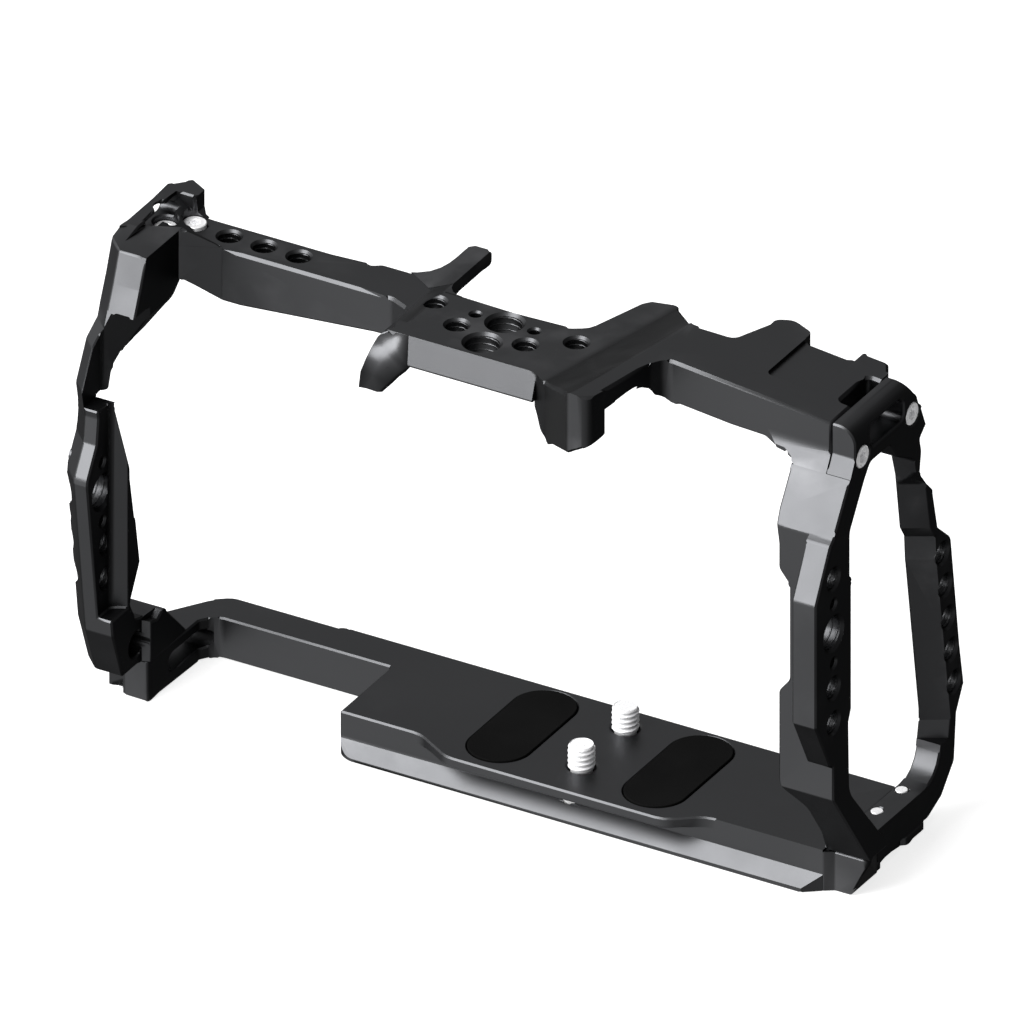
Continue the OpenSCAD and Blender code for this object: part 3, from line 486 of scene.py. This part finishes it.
def threads(name, mouths, way, kind, length, body="cage", slot="black_anodised", material=black_anodised,
            trim=None):
    """Threads of one kind and length at several mouths, all in mm"""
    crease = math.radians(20)
    mesh = bpy.data.meshes.new(name)
    mesh.from_pydata([Vector(mouth) * mm for mouth in mouths], [], [])
    piece = bpy.data.objects.new(name, mesh)
    scene.collection.objects.link(piece)
    modifier = piece.modifiers.new("threads", "NODES")
    modifier.node_group = rings_of_thread
    values = {key: value * mm for key, value in kind.items()}
    values["Length"] = length * mm
    values["Plain"] = kind["Plain"]
    values["Tilt"] = facing[way]
    values["Finish"] = material
    for item in rings_of_thread.interface.items_tree:
        if item.name in values:
            modifier[item.identifier] = values[item.name]
    seen = piece.evaluated_get(bpy.context.evaluated_depsgraph_get())
    ring = bpy.data.meshes.new_from_object(seen)
    piece.modifiers.remove(modifier)
    piece.data = ring
    if trim:
        for vertex in ring.vertices:
            vertex.co = trim(vertex.co / mm) * mm
    work = bmesh.new()
    work.from_mesh(ring)
    bmesh.ops.recalc_face_normals(work, faces=work.faces)
    work.to_mesh(ring)
    work.free()
    for face in ring.polygons:
        face.use_smooth = True
    ring.set_sharp_from_angle(angle=crease)
    stands_for(piece, body, slot)


# Radii of the three kinds of hole, and the thread in each: all in mm, but Plain is the share of the
# thread's height that its valleys are filled up to, as in the photograph's nearly smooth bores
small_hole = 3.2
large_hole = 4.8
pin_hole = 1.7
into_wall = 0.01
small_thread = {"Seat radius": small_hole + into_wall, "Crest radius": 2.56, "Pitch": 1.27, "Rim": 0.65,
                "Plain": 0.85}
large_thread = {"Seat radius": large_hole + into_wall, "Crest radius": 4.0, "Pitch": 1.5875, "Rim": 0.8,
                "Plain": 0.85}
pin_bore = {"Seat radius": pin_hole + into_wall, "Crest radius": 1.25, "Pitch": 1.0, "Rim": 0.5,
            "Plain": 1.0}
along_x = (1, 0, 0)
along_z = (0, 0, 1)
plate_edge = 0.4

base_under = -10.6
tripod_x = 42
tripod_y = 9.8
tripod_depth = 6.9
tripod_holes = [(x, tripod_y, base_under) for x in (-tripod_x, tripod_x)]
base = machined_copy("base_plate", black_anodised, plate_edge, bores(tripod_holes, along_z, small_hole))
stands_for(base, "cage", "black_anodised", "base_plate")
threads("tripod_threads", tripod_holes, "down", small_thread, tripod_depth)

# Pads
# Two moulded black silicone pads, glued into shallow racetrack pockets and standing a little proud, so
# that the camera sits on them without slipping. Their top has a fine moulded grain.


def rubber_finish(name):
    """Matt black moulded silicone with a fine moulded grain"""
    middle_black = (0.003, 0.003, 0.003)
    deep_black = (0.002, 0.002, 0.002)
    pale_black = (0.004, 0.004, 0.004)
    dull_shine = 0.04
    material, nodes, links, shader = shader_of(name, middle_black, metallic=0.0, roughness=0.75)
    coordinates = nodes.new("ShaderNodeTexCoord")
    clouds = noise(nodes, links, coordinates, scale=60, detail=3)
    cloud = spread(nodes, links, clouds, (0.3, 0.7), (0, 1))
    links.new(blended(nodes, links, cloud, deep_black, pale_black), shader.inputs["Base Color"])
    links.new(spread(nodes, links, cloud, (0, 1), (0.7, 0.82)), shader.inputs["Roughness"])
    shader.inputs["Specular IOR Level"].default_value = dull_shine
    moulded = noise(nodes, links, coordinates, scale=3000, detail=2)
    grained(nodes, links, shader, moulded, strength=0.3, distance=0.00004)
    return material


pad_rubber = rubber_finish("pad_rubber")
pad_edge = 0.12
for side in ("left", "right"):
    pad = machined_copy(side + "_base_pad", pad_rubber, pad_edge)
    stands_for(pad, "cage", "pad_rubber", side + "_base_pad")

# Camera screws
# Two captive screws turned from stainless steel, with a coin slot and a hexagon socket in the head. Below
# the thread the neck is turned down, so that the screw spins in the plate without falling out.


def steel_finish(name, low, high):
    """Turned stainless steel: bright metal with slow changes of tone and of polish"""
    along_turning = (0.15, 0.15, 6)
    material, nodes, links, shader = shader_of(name, high, metallic=0.3, roughness=0.32)
    coordinates = nodes.new("ShaderNodeTexCoord")
    clouds = noise(nodes, links, coordinates, scale=300, detail=3)
    cloud = spread(nodes, links, clouds, (0.3, 0.7), (0, 1))
    links.new(blended(nodes, links, cloud, low, high), shader.inputs["Base Color"])
    links.new(spread(nodes, links, cloud, (0, 1), (0.24, 0.34)), shader.inputs["Roughness"])
    turned = noise(nodes, links, coordinates, scale=900, detail=2, stretch=along_turning)
    grained(nodes, links, shader, turned, strength=0.08, distance=0.00002)
    return material


camera_screw_steel = steel_finish("camera_screw_steel", (0.86, 0.86, 0.87), (0.93, 0.93, 0.94))
camera_screw_edge = 0.25
camera_screw_y = {"front": 0, "rear": 20}
core_radius = 2.72
thread_foot = -0.58
thread_top = 5.7
thread_length = 6.3
camera_thread = {"Seat radius": 2.7, "Crest radius": 3.175, "Pitch": 1.27, "Rim": 0.75, "Plain": 0.35}


def to_core(point, y):
    """Brings the plain shank of the screw at y in to the thread's core"""
    across = Vector((point.x, point.y - y))
    if point.z > thread_foot and across.length > core_radius:
        across *= core_radius / across.length
    return Vector((across.x, across.y + y, point.z))


for name, y in camera_screw_y.items():
    screw = machined_copy(name + "_camera_screw", camera_screw_steel, camera_screw_edge,
                          cut=lambda point: to_core(point, y))
    stands_for(screw, name + "_screw", "camera_screw_steel", name + "_camera_screw")
    threads(name + "_camera_thread", [(0, y, thread_top)], "up", camera_thread, thread_length,
            name + "_screw", "camera_screw_steel", camera_screw_steel)

# Top plate
# Milled from one bar: the left beam, the accessory area with its threaded and pin holes, the crosswise
# rib, the ramp and nose over the lens mount, and the right beam with its strap slot. Finished as the base.
top_edge = 0.65
area_top = 103
beam_top = 100
area_depth = 7
beam_depth = 13.8
hole_pitch = 9.15
beam_first_x = -103
beam_y = 18.3
area_x = -26.5
area_rear_y = 11.1
area_front_y = 0.75
area_small = ((-18.6, 11.4), (-9, 4.8), (9, 4.8), (18.6, 11.4))
pin_gap = 7.7
beam_holes = [(beam_first_x + k * hole_pitch, beam_y, beam_top) for k in range(3)]
small_holes = [(area_x + x, y, area_top) for x, y in area_small]
large_holes = [(area_x, y, area_top) for y in (area_rear_y, area_front_y)]
pin_holes = [(area_x + x, area_rear_y, area_top) for x in (-pin_gap, pin_gap)]
top_bores = [*bores(beam_holes + small_holes, along_z, small_hole),
             *bores(large_holes, along_z, large_hole), *bores(pin_holes, along_z, pin_hole)]


def behind_horn(point):
    """Cuts the plain bar of the rib's front arm back behind the horn's front"""
    arm_side = -44.5
    arm_rear = -4.5
    arm_top = 102.4
    arm_under = 95.5
    # The accessory area's leaning front, which stays as it is
    front_top_y = -5
    front_lean = 0.3286
    front_side = -46.3
    front_reach = 0.8
    front_y = front_top_y - (area_top - point.z) * front_lean
    at_front = point.x > front_side and abs(point.y - front_y) < front_reach
    if point.x > arm_side or point.y > arm_rear or point.z > arm_top or at_front:
        return point
    # The horn's front as a plane, by one of its points and by the way it faces, and the room behind it
    x, y, z = -40.5, -7.3, 96
    faces_x, faces_y, faces_z = 0.07, -0.83, 0.55
    room = 1.6
    horn_y = y - (faces_x * (point.x - x) + faces_z * (point.z - z)) / faces_y
    return Vector((point.x, max(point.y, horn_y + room), max(point.z, arm_under)))


top = machined_copy("top_plate", black_anodised, top_edge, top_bores, behind_horn)
stands_for(top, "cage", "black_anodised", "top_plate")


def top_form(name, points, faces, crease_degrees):
    """A small solid milled from one with the top plate, from points in mm, smooth up to its creases"""
    work = bmesh.new()
    corners = [work.verts.new(Vector(point) * mm) for point in points]
    for face in faces:
        work.faces.new([corners[k] for k in face]).smooth = True
    bmesh.ops.recalc_face_normals(work, faces=work.faces)
    bmesh.ops.triangulate(work, faces=work.faces)
    mesh = bpy.data.meshes.new(name)
    work.to_mesh(mesh)
    work.free()
    mesh.materials.append(black_anodised)
    mesh.set_sharp_from_angle(angle=math.radians(crease_degrees))
    piece = bpy.data.objects.new(name, mesh)
    scene.collection.objects.link(piece)
    stands_for(piece, "cage", "black_anodised")


def slab(name, outline, low):
    """A level form: its outline from above, each point with its own height, down to one height"""
    count = len(outline)
    points = list(outline) + [(x, y, low) for x, y, z in outline]
    sides = [(k, (k + 1) % count, (k + 1) % count + count, k + count) for k in range(count)]
    top_form(name, points, [tuple(range(count)), tuple(range(count, 2 * count)), *sides], crease_degrees=35)


# The rib's rear arm, level with the accessory area, with a hollow round where it meets beam and area
arm_end = [(-45.6, 37.2), (-46.6, 38), (-49.8, 38), (-50.9, 36.8), (-50.9, 31)]
beam_round = [(-51.4, 29, 102.6), (-52.6, 27.2, 101.9), (-54.6, 25.8, 101.1), (-57.5, 25, 100.3),
              (-59, 24.8, 100.02)]
arm_root = [(-52, 20.5, 100.1), (-45.9, 20, 102.95), (-45.5, 20.9, area_top)]
area_round = [(-45.6, 21.5), (-45.6, 16), (-40.8, 16), (-40.8, 16.5), (-42.4, 16.7), (-43.8, 17.4),
              (-44.9, 18.7), (-45.45, 20.3)]
slab("rib_rear_arm", [(x, y, area_top) for x, y in arm_end] + beam_round + arm_root, low=99.7)
slab("rib_rear_corner", [(x, y, area_top) for x, y in area_round], low=98)


def rib_horn():
    """The rib's front arm: a horn that the area's leaning front runs out into, with a dark flank"""
    flank = [(-50.9, 1, 100.1), (-50.9, -4.5, 100.1), (-50.9, -7.5, 98.7), (-50.9, -10, 97),
             (-50.9, -12.4, 94.9), (-50.9, -13.2, 91.2)]
    ridge = [(-45.8, -5, 102.9), (-46.3, -6.4, 101.2), (-47, -7.9, 98.9), (-47.7, -9.2, 96.4),
             (-48.6, -10.7, 93.6), (-49.6, -12, 90.6)]
    arch = [(-42.5, -5.03, 103), (-41.5, -7.33, 96), (-42.9, -7.9, 94.9), (-44.2, -8.7, 93.6),
            (-45.3, -9.7, 92.2), (-47, -11.6, 90.2)]
    # The row under the arch starts with two points that stay hidden inside the accessory area
    hidden = [(-42.5, -2, 102.9), (-41.2, -5, 96.1)]
    under = hidden + [(x + 0.6, y + 1.4, z - 0.5) for x, y, z in arch[len(hidden):]]
    behind = [(-47, 4, 101), (-47.5, 0, 97.5), (-48, -3.5, 95.8), (-48.6, -6, 94.4), (-49.2, -8.5, 92.9),
              (-49.8, -10.6, 91.4)]
    rows = (flank, ridge, arch, under, behind)
    count = len(flank)
    points = [point for row in rows for point in row]
    faces = []
    for n in range(len(rows)):
        after = (n + 1) % len(rows)
        for k in range(count - 1):
            faces.append((n * count + k, n * count + k + 1, after * count + k + 1, after * count + k))
    for k in (0, count - 1):
        faces.append(tuple(n * count + k for n in range(len(rows))))
    top_form("rib_front_horn", points, faces, crease_degrees=75)


rib_horn()


def beam_trim(point):
    """Ends a beam thread at the beam's underside, which slopes up from one place on"""
    beam_under = 86.2
    slope_x = -97
    slope = 0.0914
    return Vector((point.x, point.y, max(point.z, beam_under + max(0.0, (point.x - slope_x) * slope))))


def rib_trim(point):
    """Lowers a mouth to the rib's sloping side"""
    rib_x = -45.6
    slope = 0.48
    return Vector((point.x, point.y, min(point.z, area_top + min(0.0, (point.x - rib_x) * slope))))


threads("beam_threads", beam_holes, "up", small_thread, beam_depth, trim=beam_trim)
threads("area_small_threads", small_holes, "up", small_thread, area_depth, trim=rib_trim)
threads("area_large_threads", large_holes, "up", large_thread, area_depth)
threads("area_pin_bores", pin_holes, "up", pin_bore, area_depth)

# Left side frame
# A milled upright with a rib at its back, a corner that takes the top plate's tongue and rises to a strap
# lug, and a foot screwed to the base plate's arm. Its holes go through to the inner side.
left_face = -122
left_depth = 8
left_large_y = -20.3
left_large_z = 49
left_small_y = -18.6
left_small_z = 34.7
left_large = (left_face, left_large_y, left_large_z)
left_small = [(left_face, left_small_y, z) for z in (left_small_z, left_small_z - hole_pitch)]
left_pins = [(left_face, left_large_y, left_large_z + side * pin_gap) for side in (-1, 1)]
left_bores = [*bores(left_small, along_x, small_hole), *bores([left_large], along_x, large_hole),
              *bores(left_pins, along_x, pin_hole)]
left = machined_copy("left_side_frame", black_anodised, plate_edge, left_bores)
stands_for(left, "cage", "black_anodised", "left_side_frame")


def left_trim(point):
    """Ends a thread at the sloped facet along the upright's front edge, which leans forward as it rises"""
    foot_y = -18.9
    foot_z = 22.9
    lean = 0.127
    facet_y = foot_y - (point.z - foot_z) * lean
    return Vector((max(point.x, left_face + max(0.0, facet_y - point.y)), point.y, point.z))


threads("left_small_threads", left_small, "left", small_thread, left_depth, trim=left_trim)
threads("left_large_thread", [left_large], "left", large_thread, left_depth, trim=left_trim)
threads("left_pin_bores", left_pins, "left", pin_bore, left_depth, trim=left_trim)

# Right side ring
# One closed ring milled from plate: a front upright with an inward flange, a rear upright whose front face
# is turned outwards, a bottom bar and a rolled top edge with the strap window.
ring_face = 73
ring_depth = 6.3
front_y = -11.8
front_large_z = 61.5
front_gap = 14.3
front_low_z = front_large_z - front_gap
front_small_z = (front_large_z + front_gap, front_low_z, front_low_z - hole_pitch)
# The rear upright's five holes run down and back
rear_first_y = 37.7
rear_first_z = 57.9
rear_back = 1.32
rear_down = hole_pitch * 0.995
front_small = [(ring_face, front_y, z) for z in front_small_z]
front_large = (ring_face, front_y, front_large_z)
front_pins = [(ring_face, front_y, front_large_z + side * pin_gap) for side in (-1, 1)]
rear_small = [(ring_face, rear_first_y + k * rear_back, rear_first_z - k * rear_down) for k in range(5)]
ring_bores = [*bores(front_small + rear_small, along_x, small_hole),
              *bores([front_large], along_x, large_hole), *bores(front_pins, along_x, pin_hole)]
ring = machined_copy("right_side_frame", black_anodised, plate_edge, ring_bores)
stands_for(ring, "cage", "black_anodised", "right_side_frame")


def ring_trim(point):
    """Ends a thread at the rear upright's turned front face, which leans forward as it rises"""
    head_y = 31
    head_z = 57.7
    lean = 0.1457
    facet_x = 66.7
    facet_turn = 1.664
    facet_y = head_y + (head_z - point.z) * lean
    return Vector((min(point.x, facet_x + max(0.0, point.y - facet_y) * facet_turn), point.y, point.z))


threads("ring_front_threads", front_small, "right", small_thread, ring_depth)
threads("ring_large_thread", [front_large], "right", large_thread, ring_depth)
threads("ring_pin_bores", front_pins, "right", pin_bore, ring_depth)
threads("ring_rear_threads", rear_small, "right", small_thread, ring_depth, trim=ring_trim)

# Frame screws
# Bought stainless screws with hexagon sockets: cap screws hold the top plate, flat-headed ones come up
# through the base plate.
frame_screw_steel = steel_finish("frame_screw_steel", (0.88, 0.88, 0.89), (0.95, 0.95, 0.96))
frame_screw_edge = 0.16
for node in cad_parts:
    if "_screw_" in node:
        screw = machined_copy(node, frame_screw_steel, frame_screw_edge)
        stands_for(screw, "cage", "frame_screw_steel", node)

# Camera
# The photograph is a product picture whose straight lines stay parallel, taken from 30 degrees right of
# the front and 30 degrees up, so the camera is orthographic.
backwards = Vector((0.433, -0.75, 0.5)).normalized()
right = Vector((0.866, 0.5, 0)).normalized()
upwards = backwards.cross(right)
target = Vector((-0.02807, 0.01703, 0.04986))
picture_width = 0.23273
camera_distance = 1.5
camera_data = bpy.data.cameras.new("camera")
camera_data.type = "ORTHO"
camera_data.ortho_scale = picture_width
camera_data.clip_end = 10
camera = bpy.data.objects.new("camera", camera_data)
scene.collection.objects.link(camera)
turn = Matrix((right, upwards, backwards)).transposed()
camera.matrix_world = Matrix.Translation(target + backwards * camera_distance) @ turn.to_4x4()
scene.camera = camera

# Floor
# A sheet of white paper just under the base plate. To the camera it is nearly white and still shows the
# cage's shadow; for the cage it is plain light grey, and it does not mirror in the metal.
floor_z = cad_low[2] - 0.0002
floor_half = 3
floor_ways = ((-1, -1), (1, -1), (1, 1), (-1, 1))
floor_corners = [(x * floor_half, y * floor_half, floor_z) for x, y in floor_ways]
floor_mesh = bpy.data.meshes.new("floor")
floor_mesh.from_pydata(floor_corners, [], [(0, 1, 2, 3)])
floor = bpy.data.objects.new("floor", floor_mesh)
scene.collection.objects.link(floor)


def camera_sees(nodes, links, plain, seen, output):
    """Shows one shader to the camera and the plain one to everything else"""
    chosen = nodes.new("ShaderNodeMixShader")
    path = nodes.new("ShaderNodeLightPath")
    links.new(path.outputs["Is Camera Ray"], chosen.inputs[0])
    links.new(plain.outputs[0], chosen.inputs[1])
    links.new(seen.outputs[0], chosen.inputs[2])
    links.new(chosen.outputs[0], output.inputs["Surface"])


def floor_paper():
    """White paper that glows a little for the camera, so that it comes out nearly white there"""
    light_grey = (0.8, 0.8, 0.8, 1)
    middle_grey = (0.5, 0.5, 0.5, 1)
    glow_level = 0.75
    paper = bpy.data.materials.new("floor_paper")
    paper.use_nodes = True
    nodes = paper.node_tree.nodes
    links = paper.node_tree.links
    nodes.clear()
    output = nodes.new("ShaderNodeOutputMaterial")
    plain = nodes.new("ShaderNodeBsdfDiffuse")
    plain.inputs["Color"].default_value = light_grey
    shadowed = nodes.new("ShaderNodeBsdfDiffuse")
    shadowed.inputs["Color"].default_value = middle_grey
    glow = nodes.new("ShaderNodeEmission")
    glow.inputs["Strength"].default_value = glow_level
    seen = nodes.new("ShaderNodeAddShader")
    links.new(shadowed.outputs[0], seen.inputs[0])
    links.new(glow.outputs[0], seen.inputs[1])
    camera_sees(nodes, links, plain, seen, output)
    return paper


floor_mesh.materials.append(floor_paper())
floor.visible_glossy = False

# Studio
# A room that is brightest on the front left and dark low down at the back, as the metal shows it. The
# camera sees it plain white. One large soft box high on the front left lights the faces that are turned
# up or to the front.


def world_lean(nodes, links, coordinates, way):
    """How far the world's direction leans along a way"""
    node = nodes.new("ShaderNodeVectorMath")
    node.operation = "DOT_PRODUCT"
    node.inputs[1].default_value = way
    links.new(coordinates.outputs["Generated"], node.inputs[0])
    return node.outputs["Value"]


def studio_room():
    """The room's light by direction, and plain white for the camera"""
    brighter_way = (-0.76, -0.36, 0)
    middle_level = 0.75
    least_level = 0.08
    dark_share = 0.15
    lifted_way = (0, -0.6, 0.8)
    world = bpy.data.worlds.new("studio")
    scene.world = world
    world.use_nodes = True
    nodes = world.node_tree.nodes
    links = world.node_tree.links
    nodes.clear()
    output = nodes.new("ShaderNodeOutputWorld")
    coordinates = nodes.new("ShaderNodeTexCoord")
    level = nodes.new("ShaderNodeMath")
    level.operation = "ADD"
    level.inputs[1].default_value = middle_level
    links.new(world_lean(nodes, links, coordinates, brighter_way), level.inputs[0])
    lifted = world_lean(nodes, links, coordinates, lifted_way)
    low_back = spread(nodes, links, lifted, (-0.42, -0.1), (dark_share, 1))
    least = nodes.new("ShaderNodeMath")
    least.operation = "MAXIMUM"
    least.inputs[1].default_value = least_level
    links.new(product(nodes, links, level.outputs[0], low_back), least.inputs[0])
    room = nodes.new("ShaderNodeBackground")
    links.new(least.outputs[0], room.inputs["Strength"])
    white = nodes.new("ShaderNodeBackground")
    white.inputs["Strength"].default_value = 1
    camera_sees(nodes, links, room, white, output)


studio_room()

box_way = Vector((-0.433, -0.7, 0.57)).normalized()
box_distance = 1
box_data = bpy.data.lights.new("soft_box", "AREA")
box_data.shape = "RECTANGLE"
box_data.size = 0.8
box_data.size_y = 1.1
box_data.energy = 22
soft_box = bpy.data.objects.new("soft_box", box_data)
scene.collection.objects.link(soft_box)
aim = box_way.to_track_quat("Z", "Y").to_matrix().to_4x4()
soft_box.matrix_world = Matrix.Translation(target + box_way * box_distance) @ aim

scene.view_settings.view_transform = "Standard"
